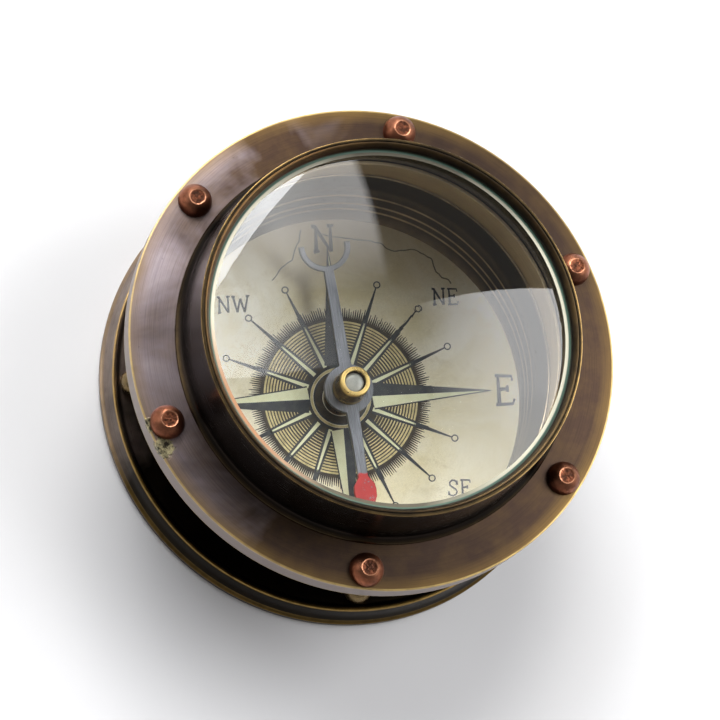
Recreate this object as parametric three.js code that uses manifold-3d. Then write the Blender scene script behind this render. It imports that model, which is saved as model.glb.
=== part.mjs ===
// A desk compass built like a ship's porthole: a riveted flange ring stands on a turned base on four ball-footed
// posts, and a housing through its middle holds a magnifying lens over a compass card and needle.
// Millimetres, +Z up. The origin is the middle of the underside, and the card's north is +Y.
import * as THREE from "three";
import { mergeVertices } from "three/addons/utils/BufferGeometryUtils.js";
import Module from "manifold-3d";

const wasm = await Module();
wasm.setup();

// Facets round a large turned piece and round a small one
const LARGE_FACETS = 48;
const SMALL_FACETS = 16;

// Clearances: round a fitted piece, over the lens, and at the needle's point
const FIT = 0.1;
const REST = 0.05;
const POINT_GAP = 0.3;

// Lens, and the widths that the housing adds outside it
const lensRadius = 29.75;
const lensEdge = 2.7;
const lensShoulder = 1.3;
const lensCurve = 85;
const lensSeatWidth = 0.95;
const bezelWall = 0.45;
const bezelOverlap = 0.4;
const bezelHeight = 1.55;
const bezelTopWidth = 0.25;

// Housing: the drum below the flange and the collar above it, turned from one piece
const lipWall = 0.5;
const collarHeight = 11.5;
const collarFootSpread = 1.9;
const collarFootEdge = 0.4;
const collarWaistSpread = 0.6;
const collarWaistHeight = 2.6;
const drumWall = 2.4;

// Flange ring with its rivets
const flangeWidth = 8.7;
const flangeThickness = 4.2;
const flangeBevel = 0.4;
const rivetInset = 3.15;
const rivetHeadRadius = 2.75;
const rivetHeadHeight = 2.2;
const rivetShankRadius = 1.2;
const rivetFlatRadius = 1.25;
const rivetDimpleDepth = 0.25;
const rivetFirstAngle = 21;
// How far each hand-drilled rivet hole lies from an even spacing, in degrees
const rivetDrift = [-0.5, -1.4, -1.2, -0.9, 2.2, 1.8];

// Base plate
const baseOverhang = 0.2;
const baseEdgeHeight = 1.4;
const baseEdgeRound = 0.3;
const ridgeInset = 1.7;
const ridgeWidth = 0.5;
const ridgeHeight = 1.0;
const ridgeSlope = 1.0;
const baseThickness = 4.0;
const coveDepth = 0.35;
const footWidth = 11.2;
const footRecess = 0.8;
const spigotHeight = 4.7;

// Posts between the base and the flange, and the screws up into them
const postNames = ["east", "north", "west", "south"];
const postHeight = 19.3;
const postInset = 4.8;
const postSeatRadius = 1.7;
const postBallRadius = 2.3;
const postNeckRadius = 1.5;
const postPadRadius = 2.0;
const postPadHeight = 1.2;
const postTenonRadius = 1.2;
const postTenonLength = 2.0;
const screwRadius = 1.0;
const screwReach = 3.2;
const screwHeadRadius = 2.1;
const screwHeadHeight = 1.1;
const screwSunk = 0.3;
const screwSlotWidth = 0.55;
const screwSlotDepth = 0.5;

// Compass case, card and pivot. The card and its pivot were fixed a little south of the middle.
const caseHeight = 18.9;
const caseWall = 0.6;
const caseFloor = 1.0;
const cardThickness = 0.4;
const cardHoleRadius = 2.4;
const cardOffCentre = 1.8;
const cardRingHeight = 8.2;
const cardRingTopWidth = 0.2;
const cardRingStepHeight = 4.0;
const cardRingStepWidth = 1.5;
const cardSightInset = 3.3;
const studFlangeRadius = 2.2;
const studShankRadius = 1.2;
const studNeckRadius = 1.0;
const studNeckHeight = 2.0;
const pinRadius = 0.35;
const pinTipRadius = 0.06;

// Needle, with its cap and the jewel that rides on the pin
const needleLift = 3.0;
const needleThickness = 0.5;
const needleHubRadius = 3.4;
const needleArmRoot = 0.86;
const needleArmTip = 0.66;
const crescentDistance = 20.2;
const crescentRadius = 3.6;
const crescentWidth = 0.74;
const crescentTip = 0.3;
const spadeStart = 12.4;
const spadeShoulder = 13.3;
const spadeHalfWidth = 1.55;
const spadeBelly = 14.7;
const spadeTip = 18.9;
const needleHeading = 6.3;
const capRadius = 2.35;
const capTopRadius = 2.1;
const capHeight = 2.8;
const capSpigotRadius = 1.3;
const capSpigotDrop = 0.3;
const capBoreRadius = 0.95;
const jewelRadius = 1.4;
const jewelHeight = 1.1;
const jewelSunk = 0.4;
const dimpleRadius = 0.6;
const dimpleDepth = 0.6;

// Radii that follow from the sizes above
const chamberRadius = lensRadius - lensSeatWidth;
const bezelRadius = lensRadius + bezelWall;
const collarTopRadius = bezelRadius + FIT + lipWall;
const collarWaistRadius = collarTopRadius + collarWaistSpread;
const collarFootRadius = collarTopRadius + collarFootSpread;
const drumRadius = chamberRadius + drumWall;
const flangeBore = drumRadius + FIT;
const flangeRadius = flangeBore + flangeWidth;
const rivetPitchRadius = flangeRadius - rivetInset;
const postPitchRadius = flangeRadius - postInset;
const baseRadius = flangeRadius + baseOverhang;
const ridgeRadius = baseRadius - ridgeInset;
const baseFloorRadius = ridgeRadius - ridgeSlope;
const footInnerRadius = baseRadius - footWidth;
const spigotRadius = chamberRadius - FIT;
const caseRadius = chamberRadius - FIT;
const caseBoreRadius = caseRadius - caseWall;
const cardRadius = caseBoreRadius - FIT;
const cardSightRadius = cardRadius - cardSightInset;

// Heights that follow from the sizes above
const baseFloorZ = baseThickness;
const ridgeZ = baseFloorZ + ridgeHeight;
const flangeBottomZ = baseFloorZ + postHeight;
const flangeTopZ = flangeBottomZ + flangeThickness;
const lipZ = flangeTopZ + collarHeight;
const bezelBottomZ = lipZ - bezelHeight;
const lensTopZ = bezelBottomZ - REST;
const lensSeatZ = lensTopZ - lensEdge;
const caseBottomZ = baseFloorZ + spigotHeight;
const caseTopZ = caseBottomZ + caseHeight;
const caseFloorZ = caseBottomZ + caseFloor;
const cardTopZ = caseFloorZ + cardThickness;
const needleZ = cardTopZ + needleLift;
const capBaseZ = needleZ + needleThickness;
const capTopZ = capBaseZ + capHeight;
const jewelTopZ = capTopZ - jewelSunk;
const jewelBottomZ = jewelTopZ - jewelHeight;
const pinTipZ = jewelBottomZ + dimpleDepth - POINT_GAP;

const brass = (color) => new THREE.MeshStandardMaterial({ color, roughness: 0.38, metalness: 1 });
const MATERIALS = {
  agedBrass: brass(0x5f4c38),
  flangeBrass: brass(0x66513c),
  innerBrass: brass(0x7a6850),
  polishedBrass: brass(0xb08a4a),
  copper: brass(0xb06a48),
  steel: brass(0x74757a),
  glass: new THREE.MeshStandardMaterial({
    color: 0xdfeee6,
    roughness: 0.03,
    metalness: 0,
    transparent: true,
    opacity: 0.25,
  }),
  paper: new THREE.MeshStandardMaterial({ color: 0xcfc79c, roughness: 0.8, metalness: 0 }),
  jewel: new THREE.MeshStandardMaterial({ color: 0xb9b6b2, roughness: 0.1, metalness: 0 }),
};

// Geometry from three.js as a solid, with the vertices that facets share merged
function toSolid(geometry) {
  const bare = geometry.clone();
  bare.deleteAttribute("normal");
  bare.deleteAttribute("uv");
  const merged = mergeVertices(bare, 1e-4);
  const corners = merged.index.array;
  const kept = [];
  for (let i = 0; i < corners.length; i += 3) {
    const [a, b, c] = corners.slice(i, i + 3);
    if (a !== b && b !== c && c !== a) kept.push(a, b, c);
  }
  return new wasm.Manifold(
    new wasm.Mesh({
      numProp: 3,
      vertProperties: merged.attributes.position.array,
      triVerts: new Uint32Array(kept),
    }),
  );
}

function toGeometry(solid) {
  const mesh = solid.getMesh();
  const geometry = new THREE.BufferGeometry();
  geometry.setAttribute("position", new THREE.BufferAttribute(mesh.vertProperties, 3));
  geometry.setIndex(new THREE.BufferAttribute(mesh.triVerts, 1));
  geometry.computeVertexNormals();
  return geometry;
}

// A profile of [radius, height] pairs turned round Z. One that starts and ends on the axis is left open there.
function turned(profile, facets = LARGE_FACETS) {
  const points = profile.map(([r, z]) => new THREE.Vector2(r, z));
  if (THREE.ShapeUtils.area(points) < 0) points.reverse();
  const onAxis = points[0].x === 0 && points.at(-1).x === 0;
  if (!onAxis) points.push(points[0].clone());
  return toSolid(new THREE.LatheGeometry(points, facets).rotateX(Math.PI / 2));
}

// The quarter-like run of points from one point to another that bulges by depth to the left of its chord
function bowed([r0, z0], [r1, z1], depth, steps) {
  const run = [];
  const length = Math.hypot(r1 - r0, z1 - z0);
  for (let i = 1; i < steps; i++) {
    const t = i / steps;
    const out = 4 * depth * t * (1 - t);
    run.push([r0 + (r1 - r0) * t - ((z1 - z0) / length) * out, z0 + (z1 - z0) * t + ((r1 - r0) / length) * out]);
  }
  return run;
}

const extruded = (shape, thickness, curveSegments) =>
  toSolid(new THREE.ExtrudeGeometry(shape, { depth: thickness, bevelEnabled: false, curveSegments }));

const polar = (radius, degrees) => {
  const angle = THREE.MathUtils.degToRad(degrees);
  return [radius * Math.cos(angle), radius * Math.sin(angle)];
};

const part = new THREE.Group();

function place(name, solid, material, parent = part) {
  const mesh = new THREE.Mesh(toGeometry(solid), material);
  mesh.name = name;
  parent.add(mesh);
  return mesh;
}

const postAngle = (index) => (index * 360) / postNames.length;
const rivetAngle = (index) => rivetFirstAngle + (index * 360) / rivetDrift.length + rivetDrift[index];

function makeBasePlate() {
  const coveFoot = [baseRadius - baseEdgeRound, baseEdgeHeight + baseEdgeRound];
  const coveHead = [ridgeRadius + ridgeWidth / 2, ridgeZ - ridgeWidth / 2];
  const plate = turned([
    [0, footRecess],
    [footInnerRadius, footRecess],
    [footInnerRadius + footRecess, 0],
    [baseRadius - baseEdgeRound, 0],
    [baseRadius, baseEdgeRound],
    [baseRadius, baseEdgeHeight],
    coveFoot,
    ...bowed(coveFoot, coveHead, coveDepth, 4),
    coveHead,
    [ridgeRadius, ridgeZ],
    [ridgeRadius - ridgeWidth, ridgeZ - ridgeWidth / 4],
    [baseFloorRadius, baseFloorZ],
    [spigotRadius, baseFloorZ],
    [spigotRadius, baseFloorZ + spigotHeight],
    [0, baseFloorZ + spigotHeight],
  ]);
  const hole = turned(
    [
      [0, -1],
      [screwHeadRadius + FIT, -1],
      [screwHeadRadius + FIT, screwSunk],
      [screwRadius + FIT, screwSunk + screwHeadHeight],
      [screwRadius + FIT, baseFloorZ + 1],
      [0, baseFloorZ + 1],
    ],
    SMALL_FACETS,
  );
  return postNames.reduce(
    (solid, _, i) => solid.subtract(hole.translate([...polar(postPitchRadius, postAngle(i)), 0])),
    plate,
  );
}

// A post is turned with a ball for its foot, flattened where it stands
function makePost() {
  const ball = [];
  const ballSteps = 6;
  const foot = -Math.acos(postSeatRadius / postBallRadius);
  const neck = Math.acos(postNeckRadius / postBallRadius);
  const ballZ = baseFloorZ - postBallRadius * Math.sin(foot);
  for (let i = 0; i <= ballSteps; i++) {
    const angle = foot + ((neck - foot) * i) / ballSteps;
    ball.push([postBallRadius * Math.cos(angle), ballZ + postBallRadius * Math.sin(angle)]);
  }
  const boreTopZ = baseFloorZ + screwReach + FIT;
  return turned(
    [
      [0, boreTopZ],
      [screwRadius + FIT, boreTopZ],
      [screwRadius + FIT, baseFloorZ],
      ...ball,
      [postNeckRadius, flangeBottomZ - postPadHeight - (postPadRadius - postNeckRadius)],
      [postPadRadius, flangeBottomZ - postPadHeight],
      [postPadRadius, flangeBottomZ],
      [postTenonRadius, flangeBottomZ],
      [postTenonRadius, flangeBottomZ + postTenonLength],
      [0, flangeBottomZ + postTenonLength],
    ],
    SMALL_FACETS,
  );
}

function makeScrew() {
  const screw = turned(
    [
      [0, screwSunk],
      [screwHeadRadius, screwSunk],
      [screwRadius, screwSunk + screwHeadHeight],
      [screwRadius, baseFloorZ + screwReach],
      [0, baseFloorZ + screwReach],
    ],
    SMALL_FACETS,
  );
  const slot = new THREE.BoxGeometry(3 * screwHeadRadius, screwSlotWidth, 2 * screwSlotDepth);
  return screw.subtract(toSolid(slot).translate([0, 0, screwSunk]));
}

function makeFlange() {
  const ring = turned([
    [flangeBore, flangeBottomZ],
    [flangeRadius - flangeBevel / 2, flangeBottomZ],
    [flangeRadius, flangeBottomZ + flangeBevel / 2],
    [flangeRadius, flangeTopZ - flangeBevel],
    [flangeRadius - flangeBevel, flangeTopZ],
    [flangeBore, flangeTopZ],
  ]);
  const rod = (radius, z0, z1) =>
    turned(
      [
        [0, z0],
        [radius, z0],
        [radius, z1],
        [0, z1],
      ],
      SMALL_FACETS,
    );
  const rivetHole = rod(rivetShankRadius + FIT, flangeBottomZ - 1, flangeTopZ + 1);
  const tenonHole = rod(postTenonRadius + FIT, flangeBottomZ - 1, flangeBottomZ + postTenonLength + FIT);
  const holes = [
    ...rivetDrift.map((_, i) => rivetHole.translate([...polar(rivetPitchRadius, rivetAngle(i)), 0])),
    ...postNames.map((_, i) => tenonHole.translate([...polar(postPitchRadius, postAngle(i)), 0])),
  ];
  return holes.reduce((solid, hole) => solid.subtract(hole), ring);
}

function makeRivet() {
  const head = [];
  const domeSteps = 4;
  const domeEnd = Math.acos(rivetFlatRadius / rivetHeadRadius);
  const rise = rivetHeadHeight / Math.sin(domeEnd);
  for (let i = 0; i <= domeSteps; i++) {
    const angle = (domeEnd * i) / domeSteps;
    head.push([rivetHeadRadius * Math.cos(angle), flangeTopZ + rise * Math.sin(angle)]);
  }
  return turned(
    [
      [0, flangeBottomZ],
      [rivetShankRadius, flangeBottomZ],
      [rivetShankRadius, flangeTopZ],
      ...head,
      [0, flangeTopZ + rivetHeadHeight - rivetDimpleDepth],
    ],
    SMALL_FACETS,
  );
}

function makeHousing() {
  const waist = [collarWaistRadius, flangeTopZ + collarWaistHeight];
  const foot = [collarFootRadius, flangeTopZ + collarFootEdge];
  const bezelSeatZ = bezelBottomZ - FIT;
  return turned([
    [chamberRadius, baseFloorZ],
    [drumRadius, baseFloorZ],
    [drumRadius, flangeTopZ],
    [collarFootRadius, flangeTopZ],
    foot,
    ...bowed(foot, waist, collarFootEdge, 3),
    waist,
    [collarTopRadius, lipZ - lipWall],
    [collarTopRadius, lipZ],
    [collarTopRadius - lipWall, lipZ],
    [collarTopRadius - lipWall, bezelSeatZ],
    [lensRadius + FIT, bezelSeatZ],
    [lensRadius + FIT, lensSeatZ],
    [chamberRadius, lensSeatZ],
  ]);
}

// The dome's height above the lens's shoulder at a radius, for a dome that starts at domeRadius
const domeRise = (radius, domeRadius) =>
  Math.sqrt(lensCurve ** 2 - radius ** 2) - Math.sqrt(lensCurve ** 2 - domeRadius ** 2);

function makeLens() {
  const steps = 10;
  const dome = [];
  const domeRadius = lensRadius - lensShoulder;
  for (let i = 0; i <= steps; i++) {
    const radius = domeRadius * (1 - i / steps);
    dome.push([radius, lensTopZ + domeRise(radius, domeRadius)]);
  }
  return turned([[0, lensSeatZ], [lensRadius, lensSeatZ], [lensRadius, lensTopZ], ...dome]);
}

function makeBezel() {
  const innerRadius = lensRadius - bezelOverlap;
  return turned([
    [innerRadius, bezelBottomZ],
    [bezelRadius, bezelBottomZ],
    [bezelRadius, lipZ],
    [bezelRadius - bezelTopWidth, lipZ],
    [innerRadius, bezelBottomZ + bezelHeight / 3],
  ]);
}

// A round hole through the card or the case's floor for what stands at the card's middle
const pivotHole = (radius) =>
  turned(
    [
      [0, caseBottomZ - 1],
      [radius, caseBottomZ - 1],
      [radius, cardTopZ + 1],
      [0, cardTopZ + 1],
    ],
    SMALL_FACETS,
  ).translate([0, -cardOffCentre, 0]);

function makeCase() {
  return turned([
    [0, caseBottomZ],
    [caseRadius, caseBottomZ],
    [caseRadius, caseTopZ],
    [caseBoreRadius, caseTopZ],
    [caseBoreRadius, caseFloorZ],
    [0, caseFloorZ],
  ]).subtract(pivotHole(studShankRadius + FIT));
}

function makeCard() {
  return turned([
    [0, caseFloorZ],
    [cardRadius, caseFloorZ],
    [cardRadius, cardTopZ],
    [0, cardTopZ],
  ]).subtract(pivotHole(cardHoleRadius));
}

// The dished ring's hole is round its own middle down to its step, and from there it leans to the card's middle
function makeCardRing() {
  const topZ = cardTopZ + cardRingHeight;
  const stepZ = cardTopZ + cardRingStepHeight;
  const stepRadius = cardRadius - cardRingStepWidth;
  const flare = (stepRadius - cardSightRadius) / cardRingStepHeight;
  const lean = cardOffCentre / cardRingStepHeight;
  const ring = turned([
    [cardSightRadius / 2, cardTopZ],
    [cardRadius, cardTopZ],
    [cardRadius, topZ],
    [cardSightRadius / 2, topZ],
  ]);
  const dish = turned([
    [0, stepZ],
    [stepRadius, stepZ],
    [cardRadius - cardRingTopWidth, topZ],
    [cardRadius - cardRingTopWidth, topZ + 1],
    [0, topZ + 1],
  ]);
  const below = cardRingStepHeight + 1;
  const hole = turned([
    [0, -below],
    [stepRadius - flare * below, -below],
    [stepRadius, 0],
    [0, 0],
  ]);
  const leaning = hole.transform([1, 0, 0, 0, 0, 1, 0, 0, 0, lean, 1, 0, 0, 0, 0, 1]);
  return ring.subtract(leaning.translate([0, 0, stepZ]).add(dish));
}

function makePivotStud() {
  return turned(
    [
      [0, caseBottomZ],
      [studShankRadius, caseBottomZ],
      [studShankRadius, caseFloorZ],
      [studFlangeRadius, caseFloorZ],
      [studFlangeRadius, cardTopZ],
      [studNeckRadius, cardTopZ],
      [studNeckRadius, cardTopZ + studNeckHeight],
      [pinRadius, cardTopZ + studNeckHeight],
      [0, cardTopZ + studNeckHeight],
    ],
    SMALL_FACETS,
  );
}

function makePivotPin() {
  const rootZ = cardTopZ + studNeckHeight;
  const taperZ = jewelBottomZ - POINT_GAP;
  return turned(
    [
      [0, rootZ],
      [pinRadius, rootZ],
      [pinRadius, taperZ],
      [pinTipRadius, pinTipZ],
      [0, pinTipZ],
    ],
    SMALL_FACETS,
  );
}

// The needle lies along Y, with a crescent at its north end and a spade at its south end
function makeNeedle() {
  const plate = (points) => {
    const shape = new THREE.Shape(points.map(([x, y]) => new THREE.Vector2(x, y)));
    return extruded(shape, needleThickness, 1);
  };
  const disc = (radius, facets) => {
    const shape = new THREE.Shape().absarc(0, 0, radius, 0, 2 * Math.PI);
    return extruded(shape, needleThickness, facets);
  };
  const armEnd = crescentDistance - crescentRadius + crescentWidth / 2;
  const northArm = plate([
    [-needleArmRoot, 0],
    [needleArmRoot, 0],
    [needleArmTip, armEnd],
    [-needleArmTip, armEnd],
  ]);
  const southArm = plate([
    [needleArmRoot, 0],
    [-needleArmRoot, 0],
    [-needleArmTip, -spadeStart],
    [-spadeHalfWidth, -spadeShoulder],
    [-spadeHalfWidth, -spadeBelly],
    [0, -spadeTip],
    [spadeHalfWidth, -spadeBelly],
    [spadeHalfWidth, -spadeShoulder],
    [needleArmTip, -spadeStart],
  ]);
  const inner = disc(crescentRadius - crescentWidth, 12).scale([1, 1, 3]).translate([0, 0, -needleThickness]);
  const above = toSolid(new THREE.BoxGeometry(3 * crescentRadius, 2 * crescentRadius, 4 * needleThickness));
  const crescent = disc(crescentRadius, 12)
    .subtract(inner)
    .subtract(above.translate([0, crescentRadius + crescentTip, 0]))
    .translate([0, crescentDistance, 0]);
  const hubHole = disc(capSpigotRadius + FIT, 8).scale([1, 1, 3]).translate([0, 0, -needleThickness]);
  return disc(needleHubRadius, 12)
    .add(northArm)
    .add(southArm)
    .add(crescent)
    .subtract(hubHole)
    .translate([0, 0, needleZ]);
}

function makeCap() {
  const spigotZ = needleZ - capSpigotDrop;
  return turned(
    [
      [capBoreRadius, spigotZ],
      [capSpigotRadius, spigotZ],
      [capSpigotRadius, capBaseZ],
      [capRadius, capBaseZ],
      [capTopRadius, capTopZ],
      [jewelRadius + FIT, capTopZ],
      [jewelRadius + FIT, jewelBottomZ],
      [capBoreRadius, jewelBottomZ],
    ],
    SMALL_FACETS,
  );
}

function makeJewel() {
  return turned(
    [
      [0, jewelBottomZ + dimpleDepth],
      [dimpleRadius, jewelBottomZ],
      [jewelRadius, jewelBottomZ],
      [jewelRadius, jewelTopZ - FIT],
      [jewelRadius - FIT, jewelTopZ],
      [0, jewelTopZ],
    ],
    SMALL_FACETS,
  );
}

place("base_plate", makeBasePlate(), MATERIALS.agedBrass);
place("flange_ring", makeFlange(), MATERIALS.flangeBrass);
place("lens_housing", makeHousing(), MATERIALS.agedBrass);
place("lens", makeLens(), MATERIALS.glass);
place("lens_bezel", makeBezel(), MATERIALS.flangeBrass);
place("compass_case", makeCase(), MATERIALS.innerBrass);
place("compass_card", makeCard(), MATERIALS.paper);
place("card_ring", makeCardRing(), MATERIALS.innerBrass);
place("pivot_stud", makePivotStud(), MATERIALS.polishedBrass).position.y = -cardOffCentre;
place("pivot_pin", makePivotPin(), MATERIALS.steel).position.y = -cardOffCentre;

postNames.forEach((name, i) => {
  const [x, y] = polar(postPitchRadius, postAngle(i));
  place("post_" + name, makePost(), MATERIALS.polishedBrass).position.set(x, y, 0);
  place("post_screw_" + name, makeScrew(), MATERIALS.steel).position.set(x, y, 0);
});

rivetDrift.forEach((_, i) => {
  const [x, y] = polar(rivetPitchRadius, rivetAngle(i));
  place("rivet_" + (i + 1), makeRivet(), MATERIALS.copper).position.set(x, y, 0);
});

const needleGroup = new THREE.Group();
needleGroup.position.y = -cardOffCentre;
needleGroup.rotation.z = THREE.MathUtils.degToRad(needleHeading);
place("needle", makeNeedle(), MATERIALS.steel, needleGroup);
place("needle_cap", makeCap(), MATERIALS.polishedBrass, needleGroup);
place("cap_jewel", makeJewel(), MATERIALS.jewel, needleGroup);
part.add(needleGroup);

export default part;
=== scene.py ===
import math
import bpy
from mathutils import Matrix, Vector, noise


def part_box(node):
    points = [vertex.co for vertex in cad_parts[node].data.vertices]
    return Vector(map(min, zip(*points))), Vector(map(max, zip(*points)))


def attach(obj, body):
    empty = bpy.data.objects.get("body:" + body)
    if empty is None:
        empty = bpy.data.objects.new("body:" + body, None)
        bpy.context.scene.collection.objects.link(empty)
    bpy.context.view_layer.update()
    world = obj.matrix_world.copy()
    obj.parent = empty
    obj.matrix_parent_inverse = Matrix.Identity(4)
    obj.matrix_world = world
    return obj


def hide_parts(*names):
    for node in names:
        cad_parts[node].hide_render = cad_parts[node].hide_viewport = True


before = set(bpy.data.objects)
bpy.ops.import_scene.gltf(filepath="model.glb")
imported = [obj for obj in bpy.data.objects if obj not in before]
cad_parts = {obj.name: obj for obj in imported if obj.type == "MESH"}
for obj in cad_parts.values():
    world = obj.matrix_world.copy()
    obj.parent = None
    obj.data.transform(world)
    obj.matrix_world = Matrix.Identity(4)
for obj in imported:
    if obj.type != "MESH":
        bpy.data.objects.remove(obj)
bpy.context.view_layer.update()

MM = 0.001
FACETS = 192
SMALL_FACETS = 64
AXIS_Z = Vector((0, 0, 1))
SHARP = math.radians(40)
TINY = 1e-6
# How far a cutter reaches past what it cuts, in millimetres
BEYOND = 1


# Radius, underside and top of a turned node, in millimetres
def span(node):
    low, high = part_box(node)
    return (high[0] - low[0]) / 2 / MM, low[2] / MM, high[2] / MM


def middle(node):
    low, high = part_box(node)
    return (low[0] + high[0]) / 2 / MM, (low[1] + high[1]) / 2 / MM


def add_object(name, data):
    made = bpy.data.objects.new(name, data)
    bpy.context.scene.collection.objects.link(made)
    return made


# Sizes that the boxes of the nodes don't give, in millimetres as in the part's source
FIT = 0.1
FLANGE_BORE = 31.3
RIVET_HOLE = 1.3
TENON_HOLE = 1.3
TENON_DEPTH = 2.1
RIDGE_INSET = 1.7
RIDGE_WIDTH = 0.5
RIDGE_SLOPE = 1.0
BASE_FLOOR = 4.0
RIDGE_TOP = BASE_FLOOR + 1.0
BASE_EDGE = 1.4
FOOT_WIDTH = 11.2
FOOT_RECESS = 0.8
SCREW_HEAD = 2.2
SCREW_HOLE = 1.1
SCREW_SUNK = 0.3
SCREW_HEAD_HEIGHT = 1.1
CHAMBER = 28.8
DRUM = 31.2
COLLAR_TOP = 30.8
COLLAR_WAIST = 31.4
COLLAR_FOOT = 32.7
COLLAR_FOOT_EDGE = 0.4
COLLAR_WAIST_HEIGHT = 2.6
LIP_WALL = 0.5
LENS_EDGE = 2.7
LENS_SHOULDER = 1.3
LENS_CURVE = 85.0
LENS_REST = 0.05
BEZEL_TOP = 0.25
BEZEL_OVERLAP = 0.4
CASE_BORE = 28.1
CARD_HOLE = 2.4
CARD_OFF_CENTRE = 1.8
CARD_SIGHT = 24.7
RING_TOP_WIDTH = 0.2
RING_STEP_WIDTH = 1.5
RING_STEP_HEIGHT = 4.0
RING_LINES = (0.34, 0.52, 0.78)
STUD_HOLE = 1.3
NEEDLE_HEADING = 6.3
NEEDLE_HUB = 3.4
NEEDLE_HUB_HOLE = 1.4
NEEDLE_ROOT = 0.86
NEEDLE_TIP = 0.66
CRESCENT_DISTANCE = 20.2
CRESCENT_RADIUS = 3.6
CRESCENT_WIDTH = 0.74
CRESCENT_TIP = 0.3
SPADE_START = 12.4
SPADE_SHOULDER = 13.3
SPADE_HALF_WIDTH = 1.55
SPADE_BELLY = 14.7
SPADE_END = 18.9
CAP_TOP = 2.1
CAP_BORE = 0.95
CAP_SPIGOT = 1.3
JEWEL_SEAT = 1.5

PIVOT = Vector((0, -CARD_OFF_CENTRE, 0))


# Camera and light
CAMERA_TURN = -44.1
CAMERA_RISE = 67.9
CAMERA_ROLL = 42.0
CAMERA_DISTANCE = 442.0
CAMERA_SLIDE = (2.59, 2.45)
CAMERA_LENS = 138.5
LAMP_AIM = Vector((0, 0, 0.02))


def make_camera():
    turn = math.radians(CAMERA_TURN)
    rise = math.radians(CAMERA_RISE)
    back = Vector((math.cos(rise) * math.sin(turn), -math.cos(rise) * math.cos(turn), math.sin(rise)))
    level = Vector((math.cos(turn), math.sin(turn), 0))
    across = Matrix.Rotation(math.radians(CAMERA_ROLL), 3, back) @ level
    up = back.cross(across)
    target = Vector((0, 0, span("flange_ring")[2]))
    place = target + CAMERA_DISTANCE * back - CAMERA_SLIDE[0] * across - CAMERA_SLIDE[1] * up
    data = bpy.data.cameras.new("camera")
    data.lens = CAMERA_LENS
    data.sensor_width = 36.0
    data.clip_start = 0.01
    camera = add_object("camera", data)
    facing = Matrix((across, up, back)).transposed().to_4x4()
    camera.matrix_world = Matrix.Translation(place * MM) @ facing
    bpy.context.scene.camera = camera


# A soft box seen from the object at an azimuth and elevation, in degrees, with its own radiance. It fades
# towards its left, right, lower and upper edge over the given shares of its size.
def soft_box(name, azimuth, elevation, distance, size, radiance, colour, fade, roll=0):
    data = bpy.data.lights.new(name, "AREA")
    data.shape = "RECTANGLE"
    data.size = size[0]
    data.size_y = size[1]
    data.energy = radiance * math.pi * size[0] * size[1]
    data.color = colour
    tree = Tree(data)
    where = tree.add("SeparateXYZ", {0: tree.add("NewGeometry").outputs["Parametric"]})
    glow = 1.0
    narrowest = 0.004
    for axis, near, far in ((0, fade[0], fade[1]), (1, fade[2], fade[3])):
        spot = where.outputs[axis]
        rise = tree.between(spot, 0.0, near + narrowest)
        fall = tree.between(spot, 1.0, 1.0 - far - narrowest)
        glow = tree.times(tree.times(rise, fall), glow)
    emission = tree.add("Emission", {"Strength": glow})
    tree.add("OutputLight", {"Surface": emission.outputs[0]})
    lamp = add_object(name, data)
    a = math.radians(azimuth)
    e = math.radians(elevation)
    away = Vector((math.cos(e) * math.cos(a), math.cos(e) * math.sin(a), math.sin(e)))
    across = AXIS_Z.cross(away).normalized()
    across = Matrix.Rotation(math.radians(roll), 3, away) @ across
    up = away.cross(across)
    facing = Matrix((across, up, away)).transposed().to_4x4()
    lamp.matrix_world = Matrix.Translation(away * distance + LAMP_AIM) @ facing
    lamp.visible_camera = False
    return lamp


def make_lights():
    soft_box("key_light", azimuth=113.2, elevation=40, distance=0.72, size=(0.66, 0.20), radiance=10.8,
             colour=(0.965, 0.98, 1.0), roll=29.4, fade=(0.05, 0.22, 0, 0))
    soft_box("top_light", azimuth=94, elevation=48.5, distance=0.90, size=(0.50, 0.60), radiance=5.4,
             colour=(1.0, 0.985, 0.97), roll=3, fade=(0.06, 0.3, 0, 0.45))
    soft_box("right_light", azimuth=-6, elevation=47, distance=0.80, size=(0.80, 0.62), radiance=7.2,
             colour=(0.98, 0.985, 1.0), roll=10, fade=(0.6, 0, 0.05, 0.5))
    soft_box("left_light", azimuth=168, elevation=24, distance=0.80, size=(0.55, 0.40), radiance=2.6,
             colour=(0.99, 0.985, 1.0), fade=(0.3, 0.3, 0.45, 0.45))
    # This one deepens the shadow at the foot, and the glass and the metal don't mirror it
    north = soft_box("north_light", azimuth=78, elevation=40, distance=0.80, size=(0.36, 0.26), radiance=11.0,
                     colour=(1.0, 0.99, 0.975), fade=(0.2, 0.2, 0.2, 0.2))
    north.visible_glossy = False


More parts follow.
